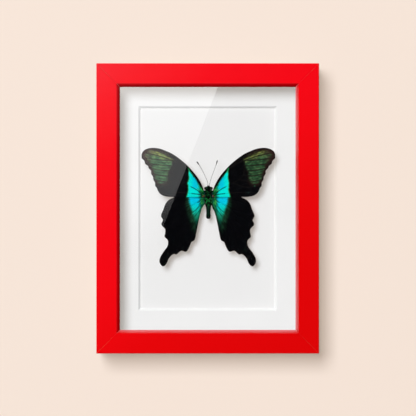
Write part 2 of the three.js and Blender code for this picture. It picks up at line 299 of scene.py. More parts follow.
moulding = {
    "paintedLightShades": [  # painted light: darker at the lower right corner, paler with a painted sheen up to the upper left one
        (-168, "dd0002"),
        (-130, "e20003"),
        (-100, "e70105"),
        (-80, "ec0209"),
        (-60, "f3030f"),
        (-37, "f60414"),
        (0, "f80d1b"),
        (24, "fa1e28"),
        (42, "fa2c36"),
    ],
    "paintedLightFrom": -170,  # along the slant of the painted light, where the list of shades starts
    "paintedLightSpan": 215,
    "brushed": "d00005",
    # painted shade for the top and left lips, painted highlight for the right and bottom ones
    "lipPaintedShade": "8a0003",
    "lipPaintedHighlight": "ff6470",
    "lipShare": 0.6,
    "bareWood": "c9a878",
    "grain": "9c7748",
    "roughness": 0.3,
    "rounding": 0.12,
    "lacquered": 7,  # how far back the lacquer goes inside the frame
}


def lacquer(name, shine, coat, paintedLipColour=None):  # the painted lip colour, painted shade on the dull lips and a painted highlight on the polished ones, shows behind the front edge
    bench = Bench(name)
    spot = bench.place()
    cloud = bench.noise(spot, 0.018, 2.0)
    brush = bench.noise(bench.place((0.25, 2.0, 0.25)), 0.35, 4.0)
    slant = bench.split(spot, 2) * 0.6 - bench.split(spot, 0) * 0.5  # painted light: paler up on the left, darker down on the right
    start, span = moulding["paintedLightFrom"], moulding["paintedLightSpan"]
    paintedLightShades = [((place - start) / span, paint(colour)) for place, colour in moulding["paintedLightShades"]]
    red = bench.ramp((slant + (cloud - 0.5) * 12 - start) / span, paintedLightShades)
    red = bench.mix(bench.ease(brush, 0.4, 0.8) * 0.06, red, paint(moulding["brushed"]))
    depth = bench.split(spot, 1) - frontFace / mm  # behind the front face
    deep = bench.ease(depth, 1.4, 4.0)
    # mixes in the painted lip colour: painted shade on the dull lips, a painted highlight on the
    # polished ones
    if paintedLipColour:
        red = bench.mix(deep * moulding["lipShare"], red, paint(paintedLipColour))
    peel = bench.noise(spot, 0.55, 2.0)
    fine = bench.noise(spot, 2.6, 3.0)
    return bench.close({
        "Base Color": red,
        "Roughness": moulding["roughness"] + (0.5 - shine) * 0.5 + 0.06 * fine,
        "Specular IOR Level": shine,
        "Coat Weight": deep * coat if paintedLipColour else coat,
        "Coat Roughness": 0.12,
        "Normal": bench.bump(peel * 0.7 + fine * 0.3, 0.03, 0.5),
    })


def bareWood(name, scale):  # grain runs along the rail
    bench = Bench(name)
    stripes = bench.noise(bench.place(scale), 1.1, 4.0)
    pores = bench.noise(bench.place([s * 3 for s in scale]), 1.6, 3.0)
    share = bench.ease(stripes + (pores - 0.5) * 0.35, 0.35, 0.72)
    return bench.close({
        "Base Color": bench.mix(share, paint(moulding["bareWood"]), paint(moulding["grain"])),
        "Roughness": 0.6 + 0.2 * pores,
        "Specular IOR Level": 0.3,
        "Normal": bench.bump(stripes * 0.6 + pores * 0.4, 0.05, 0.5),
    })


def makeRails():
    face = lacquer("redLacquer", 0.2, 0.05)
    dull = lacquer("dullRedLipPaintedShade", 0.0, 0.0, moulding["lipPaintedShade"])  # top and left bevels inside the face: a dull, shaded copy of the lacquer with painted shade
    # right and bottom bevels: a polished, lit copy of the lacquer with a painted highlight
    bright = lacquer("polishedRedLipPaintedHighlight", 0.5, 1.0, moulding["lipPaintedHighlight"])
    level = bareWood("bareWoodLevel", (0.08, 1.6, 0.9))
    upright = bareWood("bareWoodUpright", (0.9, 1.6, 0.08))
    for side in ("top", "right", "bottom", "left"):
        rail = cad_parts[f"rail_{side}"]
        dressNode(f"rail_{side}", face)
        rail.data.materials.append(bright if side in ("right", "bottom") else dull)
        rail.data.materials.append(level if side in ("top", "bottom") else upright)
        rail.visible_diffuse = False  # keeps red light off the wall and the mat
        for polygon in rail.data.polygons:
            inward = frameMiddle - polygon.center
            inward.y = 0
            hidden = polygon.center.y > frontFace + moulding["lacquered"] * mm
            if -0.6 < polygon.normal.y < -0.2:
                polygon.material_index = 1
            elif polygon.normal.y > 0.9 or (hidden and polygon.normal.dot(inward) > 0):
                polygon.material_index = 2
        bevel = rail.modifiers.new("rounding", "BEVEL")
        bevel.width = moulding["rounding"] * mm
        bevel.segments = 2
        bevel.limit_method = "ANGLE"
        bevel.angle_limit = math.radians(50)


makeRails()
print("rails dressed")


boards = {
    "mat": "faf9f9",
    "matCore": "fcfcfc",
    "backing": "f6f5f5",
    "spacer": "e9e9e6",
    "panel": "9c7850",
    "panelDark": "76552f",
    "panelFibre": "b8946a",
    "panelFleck": "4b3218",
    "glassTint": (0.985, 1, 0.992, 1),
}


def clearGlass():
    bench = Bench("clearGlass")
    film = bench.noise(bench.place(), 0.02, 2.0)
    return bench.close({
        "Base Color": bench.mix(film, (1, 1, 1, 1), boards["glassTint"]),
        "Roughness": 0.0,
        "IOR": 1.5,
        "Transmission Weight": 1.0,
    })


def paperBoard(name, colour, tooth=0.012, shade=0.03):
    bench = Bench(name)
    spot = bench.place()
    pulp = bench.noise(spot, 3.2, 4.0, 0.65)
    tone = bench.noise(spot, 0.03, 2.0)
    plain = paint(colour)
    dull = [c * (1 - shade) for c in plain[:3]] + [1]
    return bench.close({
        "Base Color": bench.mix(bench.ease(tone, 0.3, 0.8) * 0.6 + pulp * 0.3, plain, dull),
        "Roughness": 0.82 + 0.1 * pulp,
        "Specular IOR Level": 0.2,
        "Normal": bench.bump(pulp, tooth, 0.6),
    })


def fibreboard():
    bench = Bench("fibreboard")
    spot = bench.place()
    felt = bench.noise(spot, 1.1, 5.0, 0.7)
    strands = bench.noise(bench.place((0.35, 1, 2.2)), 0.9, 4.0, 0.6)
    flecks = bench.noise(spot, 2.4, 2.0)
    brown = bench.mix(bench.ease(felt, 0.3, 0.7), paint(boards["panelDark"]), paint(boards["panel"]))
    brown = bench.mix(bench.ease(strands, 0.55, 0.75) * 0.45, brown, paint(boards["panelFibre"]))
    brown = bench.mix(bench.ease(flecks, 0.66, 0.74) * 0.5, brown, paint(boards["panelFleck"]))
    return bench.close({
        "Base Color": brown,
        "Roughness": 0.62 + 0.25 * felt,
        "Specular IOR Level": 0.3,
        "Normal": bench.bump(felt * 0.6 + strands * 0.4, 0.08, 0.5),
    })


def makeBoards():
    dressNode("glass", clearGlass())
    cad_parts["glass"].visible_shadow = False
    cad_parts["glass"].visible_diffuse = False  # lets the mat light the lip
    dressNode("mat", paperBoard("matBoard", boards["mat"]))
    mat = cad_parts["mat"].data
    mat.materials.append(paperBoard("matCore", boards["matCore"], 0.02))
    for polygon in mat.polygons:
        if -0.9 < polygon.normal.y < -0.4:  # the bevel cut
            polygon.material_index = 1
    dressNode("backing_board", paperBoard("backingBoard", boards["backing"], 0.01, 0.02))
    spacer = paperBoard("spacerStrip", boards["spacer"], 0.05, 0.05)
    for side in ("top", "right", "bottom", "left"):
        dressNode(f"spacer_{side}", spacer)
        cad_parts[f"spacer_{side}"].visible_diffuse = False
    dressNode("back_panel", fibreboard())


makeBoards()
print("glass and boards dressed")


fittings = {  # light and dark of the crystals, roughness and depth of the scratches
    "zincPlate": ("d2d5d8", "a9adb1", 0.26, 0.03),
    "rivetBrass": ("d0ac62", "8b6a30", 0.28, 0.02),
    "tabSteel": ("b4b6b8", "74777a", 0.34, 0.04),
    "pinSteel": ("c9cbcd", "9b9ea1", 0.2, 0.01),
}


def plated(name):
    light, dark, roughness, scratch = fittings[name]
    bench = Bench(name)
    spot = bench.place()
    spangle = bench.add("ShaderNodeTexVoronoi", None, {"Vector": spot, "Scale": 0.9}, out=1)
    crystals = bench.add("ShaderNodeSeparateColor", None, [spangle])
    rubbed = bench.noise(bench.place((0.2, 1, 3.0)), 1.6, 5.0, 0.7)
    share = crystals * 0.45 + bench.ease(rubbed, 0.35, 0.75) * 0.55
    return bench.close({
        "Base Color": bench.mix(share, paint(light), paint(dark)),
        "Metallic": 1.0,
        "Roughness": roughness + 0.18 * rubbed,
        "Normal": bench.bump(rubbed, scratch, 0.4),
    })


def makeFittings():
    dressNode("hanger", plated("zincPlate"))
    brass = plated("rivetBrass")
    for side in ("left", "right"):
        dressNode(f"hanger_rivet_{side}", brass)
    steel = plated("tabSteel")
    for number in range(1, 7):
        dressNode(f"tab_{number}", steel)
    dressNode("pin", plated("pinSteel"))


makeFittings()
print("fittings dressed")


wing = {
    "spacing": 0.32,  # between the corners of the mesh
    "thickness": 0.2,
    "solidHalf": 0.225,  # from the front of the solid blade to its middle
    "veinHeight": 0.1,
    "veinWidth": 0.28,
    "furrow": 0.09,  # dip between veins
    "wave": 0.25,  # slow rise and fall of the blade
    "tuck": 1.3,  # how far the roots reach into the thorax
    "fringe": 0.16,  # hairs of the margin
    "scallop": 0.42,  # the forewing's outer margin runs out a little at each vein
    "step": 0.4,  # between the points of the margin
}

# veins, [across, up] from the middle of the thorax
foreVeins = [
    [[3.4, 4.6], [6.3, 9.2], [9.6, 14.4], [14.6, 20.0], [20.4, 24.3], [27.0, 27.2]],  # top of the cell
    [[18.0, 10.5], [23.0, 13.0], [26.0, 16.0]],  # bottom of the cell, outer part
    [[27.0, 27.2], [26.9, 23.0], [26.6, 19.3], [26.0, 16.0]],  # end of the cell
    [[14.6, 20.0], [24.0, 29.0], [32.0, 33.4]],
    [[20.4, 24.3], [30.0, 30.6], [40.0, 35.4]],
    [[27.0, 27.2], [36.0, 30.4], [48.6, 33.4]],
    [[27.0, 27.2], [38.0, 27.8], [49.4, 29.2]],
    [[26.9, 23.0], [36.0, 23.8], [46.6, 25.0]],
    [[26.6, 19.3], [35.0, 19.9], [44.0, 21.6]],
    [[26.0, 16.0], [33.0, 15.7], [42.4, 17.4]],
    [[23.0, 13.0], [32.0, 11.4], [40.8, 12.9]],
    [[18.0, 10.5], [28.0, 7.4], [39.2, 8.3]],
    [[3.4, 1.2], [20.0, 3.2], [36.6, 3.2]],
]
foreCrease = [  # lines that show dark on the bright band
    [[3.4, 2.2], [6.6, 3.9], [9.8, 5.9], [13.2, 7.7], [18.0, 10.5]],  # bottom of the cell, inner part
    [[5.0, 1.7], [9.0, 2.2], [12.4, 2.5]],
]
foreFolds = [  # soft dark lines between the veins
    [[29.0, 29.4], [36.0, 32.0], [43.0, 33.6]],
    [[28.6, 25.6], [36.0, 25.9], [44.0, 27.0]],
    [[28.6, 21.5], [36.0, 21.8], [43.0, 23.2]],
    [[28.6, 17.7], [35.0, 17.7], [41.4, 19.4]],
    [[30.0, 13.6], [35.0, 13.4], [40.4, 14.9]],
]

hindVeins = [
    [[3.6, -0.4], [12.0, -1.4], [24.0, -3.8], [32.6, -9.4]],
    [[3.6, -1.2], [10.0, -4.6], [17.0, -9.4], [20.5, -13.6]],  # upper edge of the cell
    [[3.6, -2.2], [8.0, -9.2], [12.6, -15.8], [16.4, -18.6]],  # lower edge of the cell
    [[20.5, -13.6], [19.6, -17.2], [16.4, -18.6]],  # end of the cell
    [[17.0, -9.4], [26.0, -11.4], [34.4, -14.4]],
    [[20.5, -13.6], [27.0, -16.6], [34.0, -20.6]],
    [[19.6, -17.2], [25.6, -22.4], [31.8, -29.4]],
    [[18.4, -18.2], [24.4, -27.0], [29.4, -38.0], [33.4, -50.6]],
    [[16.4, -18.6], [20.4, -29.0], [23.6, -42.4]],
    [[12.6, -15.8], [14.8, -26.0], [16.3, -40.4]],
    [[3.6, -3.2], [7.6, -14.0], [10.3, -32.2]],
]
hindCrease = [
    [[4.3, -6.4], [6.4, -9.6], [10.0, -14.4]],
    [[4.4, -3.4], [8.4, -8.6], [11.6, -11.6]],
    [[3.8, -1.6], [8.2, -4.2]],
]

# edges of the bright fields, from the root outwards and back
foreBand = [
    [2.6, 4.2], [6.1, 8.0], [8.0, 11.1], [10.3, 14.6], [13.0, 18.2], [15.2, 21.6], [14.8, 18.4],
    [14.9, 14.7], [15.1, 12.2], [15.8, 10.3], [15.3, 8.4], [15.4, 4.0], [15.9, 1.9], [15.7, -1.4],
    [2.0, -1.4],
]
foreSky = [[6.8, 8.6], [7.8, 12.0], [10.4, 15.4], [12.2, 15.6], [12.0, 12.0], [11.4, 7.0], [9.0, 6.4]]
foreBase = [
    [2.0, 7.6], [5.4, 9.6], [7.4, 12.4], [8.0, 10.4], [7.0, 7.6], [7.4, 4.4], [7.2, 1.2], [7.0, -1.4],
    [2.0, -1.4],
]
foreField = [
    [26.6, 28.0], [29.4, 30.4], [34.0, 32.5], [39.5, 34.2], [44.6, 34.4], [47.6, 32.0], [46.4, 28.4],
    [43.4, 24.6], [41.6, 19.8], [40.0, 16.0], [38.6, 12.2], [36.0, 10.2], [31.4, 11.0], [30.2, 15.6],
    [29.6, 19.8], [27.0, 24.4],
]
rustLine = [[3.0, 1.0], [3.9, 0.5]]
foreSpot = [[33.4, 7.7], [34.2, 8.8], [35.2, 8.5], [34.9, 7.6]]
foreFlecks = [[24.0, 1.0], [26.0, 3.4], [34.0, 4.2], [36.0, 2.8], [30.0, 1.0]]
hindBand = [
    [3.0, 2.0], [14.6, 2.4], [14.7, -1.7], [14.5, -4.2], [13.6, -6.9], [12.7, -9.8], [11.8, -12.6],
    [10.9, -16.0], [10.2, -19.2], [9.3, -23.0], [7.9, -20.0], [6.4, -13.6], [4.9, -9.0], [3.4, -5.0],
]
hindFringe = [
    [3.0, 2.0], [16.2, 2.4], [17.4, -4.0], [16.8, -9.7], [15.4, -14.4], [14.0, -19.0], [12.9, -24.0],
    [11.0, -28.0], [8.8, -27.6], [7.2, -20.6], [5.6, -13.4], [3.8, -7.3],
]
hindBase = [
    [2.0, 0.4], [6.4, 0.4], [7.0, -2.6], [6.6, -5.6], [6.4, -9.0], [6.8, -12.0], [5.2, -12.0],
    [2.0, -5.0],
]


def wingPlan(node):  # outline of the blade's front, and its level at the body and rise along the span
    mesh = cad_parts[node].data
    fronts = [face for face in mesh.polygons if face.normal.y < -0.9]
    spots, edges = [], {}
    for face in fronts:
        keys = []
        for i in face.vertices:
            spot = mesh.vertices[i].co
            keys.append((round(spot.x / mm, 3), round(spot.z / mm, 3)))
            spots.append((abs(spot.x - thoraxMiddle[0]), spot.y))
        for a, b in zip(keys, keys[1:] + keys[:1]):
            edges[a, b] = edges.get((a, b), 0) + 1
    following = {a: b for a, b in edges if (b, a) not in edges}
    loop = [max(following)]  # its rightmost corner
    for _ in following:
        if following[loop[-1]] == loop[0]:
            break
        loop.append(following[loop[-1]])
    rise, level = np.polyfit(*np.array(spots).T, 1)
    return np.array(loop), rise, level


def fillLoop(loop, spacing):  # even triangles inside an outline
    outline = []
    for start, end in zip(loop, np.roll(loop, -1, axis=0)):
        cuts = max(1, round(np.linalg.norm(end - start) / spacing))
        outline.extend(start + (end - start) * k / cuts for k in range(cuts))
    outline = np.array(outline)
    low, high = outline.min(0), outline.max(0)
    rows = np.arange(low[1], high[1], spacing * math.sqrt(0.75))
    grid = [
        (x + (row % 2) * spacing / 2, up)
        for row, up in enumerate(rows)
        for x in np.arange(low[0], high[0], spacing)
    ]
    grid = np.array(grid)
    grid = grid[depthInLoop(grid, outline) > spacing * 0.55]
    spots = [Vector(p) for p in np.vstack([outline, grid])]
    filled = geometry.delaunay_2d_cdt(spots, [], [list(range(len(outline)))], 1, 1e-6)
    return np.array([tuple(p) for p in filled[0]]), [tuple(face) for face in filled[2]]


def lowNoise(points, scale, seed):  # soft made-up unevenness from a few waves
    rng = np.random.default_rng(seed)
    total = np.zeros(len(points))
    for _ in range(6):
        direction = rng.normal(size=2)
        total += np.sin(points @ direction / scale + rng.uniform(0, 6.3))
    return total / 6


def nearestLine(points, lines):
    return np.min([distanceToPath(points, smoothPath(line)) for line in lines], axis=0)


def wingEdge(loop, side, middle, veins):  # the blade's outline in its own millimetres from the thorax
    edge = (loop - middle) * (side, 1)
    following = np.roll(edge, -1, axis=0)
    cuts = [int(np.ceil(np.linalg.norm(b - a) / wing["step"])) for a, b in zip(edge, following)]
    spans = zip(edge, following, cuts)
    edge = np.vstack([a + (b - a) * np.arange(cut)[:, None] / cut for a, b, cut in spans])
    near = np.clip((edge[:, 0] - 3.1) / 1.6, 0, 1)
    low = np.clip((4.2 - edge[:, 1]) / 2.0, 0, 1)
    edge[:, 0] -= wing["tuck"] * (1 - near) * low  # roots run on into the thorax
    following = np.roll(edge, -1, axis=0)
    along = following - np.roll(edge, 1, axis=0)
    outward = np.column_stack([along[:, 1], -along[:, 0]]) / np.linalg.norm(along, axis=1)[:, None]
    turning = np.sign(np.sum(edge[:, 0] * following[:, 1] - following[:, 0] * edge[:, 1]))
    margin = np.clip((edge[:, 0] - 37.5) / 2, 0, 1) * np.clip((31.5 - edge[:, 1]) / 2, 0, 1)
    tooth = np.clip(1 - nearestLine(edge, veins) / 0.9, -1, 1) * margin * wing["scallop"]
    return edge + outward * (turning * (wing["fringe"] + tooth))[:, None]


def bladeFaces(faces, flat):  # front, rim and back of a blade, and which finish each face has
    count = len(flat)
    uses = {(a, b) for face in faces for a, b in zip(face, face[1:] + face[:1])}
    border = [(a, b) for face in faces for a, b in zip(face, face[1:] + face[:1]) if (b, a) not in uses]
    sample = [flat[i] for i in faces[0]]
    turn = np.cross(sample[1] - sample[0], sample[2] - sample[0])
    if turn > 0:  # seen from the front, x runs right and z up, so such a face already looks forward
        fronts = [tuple(f) for f in faces]
        backs = [tuple(count + i for i in reversed(f)) for f in faces]
        rims = [(b, a, count + a, count + b) for a, b in border]
    else:
        fronts = [tuple(reversed(f)) for f in faces]
        backs = [tuple(count + i for i in f) for f in faces]
        rims = [(a, b, count + b, count + a) for a, b in border]
    return fronts + rims + backs, [0] * (len(fronts) + len(rims)) + [1] * len(backs)


def wingPiece(node, lines, fields, root, materials, seed):
    side = -1 if node.endswith("left") else 1
    loop, rise, level = wingPlan(node)
    middle = np.array(thoraxMiddle) / mm
    edge = wingEdge(loop, side, middle, lines["vein"])
    own, faces = fillLoop(edge, wing["spacing"])
    flat = own * (side, 1) + middle
    numbers = {name: nearestLine(own, paths) for name, paths in lines.items()}
    rim = distanceToPath(own, np.vstack([edge, edge[:1]]))
    fromRoot = own - np.array(root)
    reach = np.linalg.norm(fromRoot, axis=1)
    ray = np.arctan2(fromRoot[:, 1], fromRoot[:, 0])

    vein = np.minimum(numbers["vein"], numbers["crease"])
    ridge = np.exp(-(vein / wing["veinWidth"]) ** 2) * wing["veinHeight"]
    furrow = (1 - np.exp(-vein / 1.5)) * wing["furrow"]
    fade = np.clip(rim / 2.0, 0, 1)
    wave = lowNoise(own, 9.0, seed) * wing["wave"] * np.clip((reach - 4) / 14, 0, 1)
    depth = level / mm + wing["solidHalf"] + rise * own[:, 0] + wave + furrow * fade
    half = wing["thickness"] / 2 * (0.45 + 0.55 * np.clip(rim / 1.2, 0, 1))
    front = np.column_stack([flat[:, 0], depth - half - ridge * fade, flat[:, 1]]) * mm
    back = np.column_stack([flat[:, 0], depth + half + ridge * fade * 0.5, flat[:, 1]]) * mm

    faces, slots = bladeFaces(faces, flat)
    piece = meshPiece(f"{node}_scales", np.vstack([front, back]), faces, materials, slots)
    numbers.update(across=own[:, 0], up=own[:, 1], rim=rim, reach=reach, ray=ray)
    numbers["rust"] = distanceToPath(own, np.array(rustLine))
    for name, polygon in fields.items():
        numbers[name] = depthInLoop(own, smoothPath(polygon + polygon[:1], 5))
    for name, values in numbers.items():
        storeNumbers(piece, name, np.concatenate([values, values]))
    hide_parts(node)
    f"{node.split('_')[0]}_scales"
    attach(piece, "root")


def streaks(bench, fine, coarse):  # noise drawn out along the rays from the wing's root
    ray, reach = bench.stored("ray"), bench.stored("reach")
    thin = bench.noise(bench.join(ray * fine, reach * 0.16, 0.0), 1.0, 3.0, 0.6)
    wide = bench.noise(bench.join(ray * coarse, reach * 0.07, 4.0), 1.0, 2.0)
    return thin, wide


def scaleGrain(bench):  # the small rows of scales
    spot = bench.place()
    return bench.noise(spot, 2.2, 3.0, 0.7), bench.noise(spot, 0.45, 3.0)


def closeWing(bench, colour, glow, grain, thin):
    return bench.close({
        "Base Color": colour,
        "Roughness": 0.62 - 0.14 * glow,
        "Specular IOR Level": 0.12,
        "Normal": bench.bump(grain * 0.6 + thin * 0.4, 0.05, 0.6),
    })


roots = {"black": "020503", "green": "107038", "paleGreen": "3a9e4a", "rust": "5e2e24"}


def hairyBase(bench, mottle, grain):  # green, black and rust streaks of the wing roots
    ray, reach = bench.stored("ray"), bench.stored("reach")
    broad = bench.noise(bench.join(ray * 6.5, reach * 0.3, 9.0), 1.0, 2.0)
    outer = bench.ease(reach, 1.4, 4.6) * 0.13 - 0.09
    streak = broad + (mottle - 0.5) * 0.6 + (grain - 0.5) * 0.3 + outer
    colour = bench.mix(bench.ease(streak, 0.45, 0.56), paint(roots["black"]), paint(roots["green"]))
    colour = bench.mix(bench.ease(streak, 0.59, 0.7), colour, paint(roots["paleGreen"]))
    rust = bench.ease(bench.stored("rust") + (grain - 0.5) * 0.8, 0.9, 0.3)
    return bench.mix(rust * 0.9, colour, paint(roots["rust"]))


fore = {
    "black": "030305",
    "maroon": "2c1a17",
    "tip": "35221e",
    "dusting": "121317",
    "veinBrown": "1c1815",
    "fieldGreen": "355a3a",
    "olive": "868e4a",
    "tipOlive": "4a4032",
    "deepGreen": "0e3a22",
    "paleBlotch": "688a5a",
    "darkBlotch": "14261a",
    "spot": "1d6446",
    "flecks": "173c38",
    "turquoise": "02eee2",
    "skyBlue": "00bdea",
    "dimStreak": "00a8a4",
    "dimScale": "008f8f",
    "fringe": "06382e",
    "leafGreen": "2f9e4c",
    "vein": "04504c",
    "crease": "04343a",
    # painted shade along the forewing's lower edge, where it lies over the hindwing
    "lowerEdgePaintedShade": "052824",
    "paintedGlareLeft": 0.65,  # painted glare: the outer half of the left forewing is made paler by this share
}


def forewingScales():
    bench = Bench("forewingScales")
    across, up = bench.stored("across"), bench.stored("up")
    vein, crease, fold = bench.stored("vein"), bench.stored("crease"), bench.stored("fold")
    rim = bench.stored("rim")
    thin, wide = streaks(bench, 34.0, 12.0)
    grain, mottle = scaleGrain(bench)
    ragged = (thin - 0.5) * 1.7 + (mottle - 0.5) * 0.9 + (grain - 0.5) * 0.8

    field = bench.stored("field")
    outer = bench.ease(field + ragged, -3.4, -0.4) * bench.ease(across, 26.0, 36.0)
    black = bench.mix(outer * 0.75, paint(fore["black"]), paint(fore["maroon"]))
    tip = bench.ease(across + up * 0.35, 50.0, 59.0) * bench.ease(rim, 0.3, 1.2)
    black = bench.mix(tip * 0.6, black, paint(fore["tip"]))
    dusting = bench.ease(thin * 0.6 + mottle * 0.4, 0.46, 0.66) * 0.7
    black = bench.mix(dusting, black, paint(fore["dusting"]))
    black = bench.mix(bench.ease(vein, 0.5, 0.1) * 0.5, black, paint(fore["veinBrown"]))
    lines = bench.ease(vein + (grain - 0.5) * 0.4, 0.2, 0.75)
    dents = bench.ease(fold + (grain - 0.5) * 0.5, 0.1, 0.55) * 0.5 + 0.5
    oliveShare = bench.ease(up * 0.9 - across * 0.3 - 16.2 + (mottle - 0.5) * 5, -2.4, 2.2)
    green = bench.mix(oliveShare, paint(fore["fieldGreen"]), paint(fore["olive"]))
    outermost = bench.ease(across + up * 0.3 + ragged * 2, 49.0, 55.5)
    green = bench.mix(outermost, green, paint(fore["tipOlive"]))
    green = bench.mix(bench.ease(thin, 0.6, 0.4) * 0.55, green, paint(fore["deepGreen"]))
    blotch = bench.noise(bench.place((1.0, 1.0, 1.6)), 0.33, 3.0, 0.6)
    green = bench.mix(bench.ease(blotch, 0.5, 0.66) * 0.4, green, paint(fore["paleBlotch"]))
    green = bench.mix(bench.ease(blotch, 0.5, 0.38) * 0.6, green, paint(fore["darkBlotch"]))
    shown = bench.ease(field + ragged * 1.8, -0.9, 1.5) * bench.ease(rim + ragged * 0.5, 0.7, 2.0)
    colour = bench.mix(shown * (0.12 + 0.88 * lines) * dents, black, green)
    # painted glare: the outer half of the left forewing is brightened by adding its colour to itself
    fromMiddle = bench.split(bench.place(), 0) - thoraxMiddle[0] / mm
    pale = bench.ease(fromMiddle, -12.0, -24.0) * fore["paintedGlareLeft"]
    added = {"data_type": "RGBA", "blend_type": "ADD"}
    colour = bench.add("ShaderNodeMix", added, {0: pale, 6: colour, 7: colour}, out=2)

    spots = bench.ease(bench.stored("spot") + ragged * 0.5, -0.1, 0.6)
    colour = bench.mix(spots * 0.75, colour, paint(fore["spot"]))
    flecks = bench.ease(bench.stored("flecks"), 0.0, 0.8) * bench.ease(mottle + thin, 1.08, 1.25)
    colour = bench.mix(flecks * 0.5, colour, paint(fore["flecks"]))

    depth = bench.stored("band")
    band = bench.ease(depth + ragged * 1.1, -0.35, 0.35)
    core = bench.ease(depth + ragged * 1.3, 0.0, 1.0)
    blue = bench.ease(bench.stored("sky") + (wide - 0.5) * 7 + (mottle - 0.5) * 2, -1.2, 1.6)
    shine = bench.mix(blue * 0.7, paint(fore["turquoise"]), paint(fore["skyBlue"]))
    shine = bench.mix(bench.ease(thin, 0.58, 0.34) * 0.3, shine, paint(fore["dimStreak"]))
    shine = bench.mix(bench.ease(grain, 0.42, 0.3) * 0.3, shine, paint(fore["dimScale"]))
    outward = bench.ease(across, 10.0, 13.5)
    fringe = bench.mix(outward, paint(fore["fringe"]), paint(fore["leafGreen"]))
    shine = bench.mix(core, fringe, shine)
    shine = bench.mix(bench.ease(vein, 0.4, 0.1) * 0.3, shine, paint(fore["vein"]))
    dark = bench.ease(crease + (grain - 0.5) * 0.3, 0.5, 0.15) * bench.ease(across, 14.4, 12.4)
    shine = bench.mix(dark * 0.9, shine, paint(fore["crease"]))
    # painted shade: the band darkens along its lower edge, where the forewing lies over the hindwing
    shine = bench.mix(bench.ease(up, 0.25, -0.25) * 0.8, shine, paint(fore["lowerEdgePaintedShade"]))
    base = bench.ease(bench.stored("base") + ragged * 2.0 + (wide - 0.5) * 5, -1.2, 1.4)
    shine = bench.mix(base, shine, hairyBase(bench, mottle, grain))
    colour = bench.mix(band, colour, shine)
    return closeWing(bench, colour, band * (1 - base), grain, thin)


hind = {
    "black": "030305",
    "blueBlack": "0a0c12",
    "greenDust": "14301c",
    "rim": "1a1210",
    "hairDark": "0a1a10",
    "hairGreen": "1f4a32",
    "fall": [  # from the lower tip of the bright field up to its top
        (0.12, "020604"),
        (0.24, "061c14"),
        (0.34, "0e4632"),
        (0.44, "1a8866"),
        (0.55, "12c2a6"),
        (0.68, "00e2da"),
        (0.82, "00d8fe"),
    ],
    "dimStreak": "04544c",
    "dimScale": "007080",
    "vein": "04403a",
    "crease": "052c24",
    "edgeLow": "06140e",
    "edgeHigh": "156a4c",
}


def hindwingScales():
    bench = Bench("hindwingScales")
    up = bench.stored("up")
    vein, crease, rim = bench.stored("vein"), bench.stored("crease"), bench.stored("rim")
    thin, wide = streaks(bench, 40.0, 14.0)
    grain, mottle = scaleGrain(bench)
    ragged = (thin - 0.5) * 3.2 + (mottle - 0.5) * 0.8 + (grain - 0.5) * 0.8

    dust = bench.ease(mottle + grain * 0.5, 0.84, 0.98) * bench.ease(up, -26.0, -36.0)
    bluish = bench.ease(thin * 0.6 + mottle * 0.4, 0.48, 0.68) * 0.5
    black = bench.mix(bluish, paint(hind["black"]), paint(hind["blueBlack"]))
    black = bench.mix(dust * 0.4, black, paint(hind["greenDust"]))
    black = bench.mix(bench.ease(rim, 1.6, 0.3) * 0.35, black, paint(hind["rim"]))
    halo = bench.ease(bench.stored("fringe") + ragged * 1.4, -0.6, 2.6) * bench.ease(up, -31.0, -18.0)
    hair = bench.mix(bench.ease(thin, 0.42, 0.6), paint(hind["hairDark"]), paint(hind["hairGreen"]))
    black = bench.mix(halo * 0.85, black, hair)

    drop = up + (wide - 0.5) * 6 + (thin - 0.5) * 3
    shine = bench.ramp((drop + 28) / 30, [(place, paint(colour)) for place, colour in hind["fall"]])
    shine = bench.mix(bench.ease(thin, 0.58, 0.36) * 0.4, shine, paint(hind["dimStreak"]))
    shine = bench.mix(bench.ease(grain, 0.42, 0.3) * 0.25, shine, paint(hind["dimScale"]))
    shine = bench.mix(bench.ease(vein, 0.4, 0.1) * 0.35, shine, paint(hind["vein"]))
    dark = bench.ease(crease + (grain - 0.5) * 0.3, 0.5, 0.12)
    shine = bench.mix(dark * 0.8, shine, paint(hind["crease"]))
    base = bench.ease(bench.stored("base") + ragged * 1.2 + (wide - 0.5) * 4, -1.3, 1.3)
    shine = bench.mix(base, shine, hairyBase(bench, mottle, grain))
    depth = bench.stored("band")
    band = bench.ease(depth + ragged * 0.9, -1.1, 0.9)
    higher = bench.ease(drop, -22.0, -13.0)
    edge = bench.mix(higher, paint(hind["edgeLow"]), paint(hind["edgeHigh"]))
    shine = bench.mix(bench.ease(depth + ragged * 1.1, -0.4, 1.6), edge, shine)
    colour = bench.mix(band, black, shine)
    return closeWing(bench, colour, band * (1 - base), grain, thin)


under = {"dark": "17110d", "brown": "3a2d22", "rim": "5a4a38"}


def wingUnderside():
    bench = Bench("wingUnderside")
    thin, wide = streaks(bench, 30.0, 10.0)
    grain, mottle = scaleGrain(bench)
    colour = bench.mix(bench.ease(thin + mottle, 0.8, 1.3), paint(under["dark"]), paint(under["brown"]))
    colour = bench.mix(bench.ease(bench.stored("rim"), 4.0, 1.0) * 0.4, colour, paint(under["rim"]))
    return closeWing(bench, colour, 0.2 * wide, grain, thin)


def makeWings():
    underside = wingUnderside()
    foreFinish, hindFinish = [forewingScales(), underside], [hindwingScales(), underside]
    foreFields = {
        "band": foreBand,
        "sky": foreSky,
        "base": foreBase,
        "field": foreField,
        "spot": foreSpot,
        "flecks": foreFlecks,
    }
    hindFields = {"band": hindBand, "fringe": hindFringe, "base": hindBase}
    foreLines = {"vein": foreVeins, "crease": foreCrease, "fold": foreFolds}
    hindLines = {"vein": hindVeins, "crease": hindCrease}
    for seed, side in enumerate(("left", "right")):
        wingPiece(f"forewing_{side}", foreLines, foreFields, (2.4, 1.0), foreFinish, 11 + seed)
        wingPiece(f"hindwing_{side}", hindLines, hindFields, (2.4, -0.2), hindFinish, 21 + seed)


